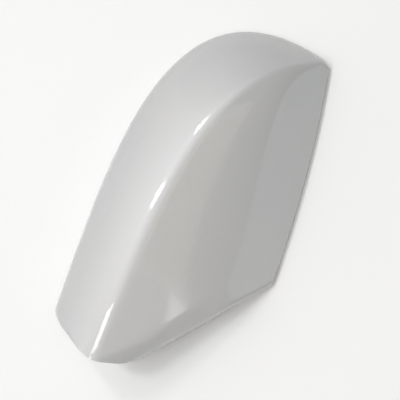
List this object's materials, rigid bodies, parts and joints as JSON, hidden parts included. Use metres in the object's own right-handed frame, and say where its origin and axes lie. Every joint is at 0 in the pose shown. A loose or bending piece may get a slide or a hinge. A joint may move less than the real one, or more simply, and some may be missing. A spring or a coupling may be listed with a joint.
{
  "type": "wing mirror cover",
  "caption": "Thin moulded shell that clips over the back of a car's wing mirror, with a swept ridge, a rolled inboard edge, and snap hooks and locating pegs inside.",
  "frame": {"origin": "middle of the footprint, on the plane of the rim that the cover lies on", "axes": "+X along the straight lower edge from the inboard end to the outboard tip, +Y from the lower edge to the curved upper rim, +Z out through the painted skin"},
  "size_m": [0.2434, 0.151, 0.0515],
  "materials": {
    "paint": "silver-white metallic paint under clear lacquer outside, dark unpainted plastic inside"
  },
  "bodies": {
    "root": {"mirror_cover": "paint"}
  },
  "joints": []
}
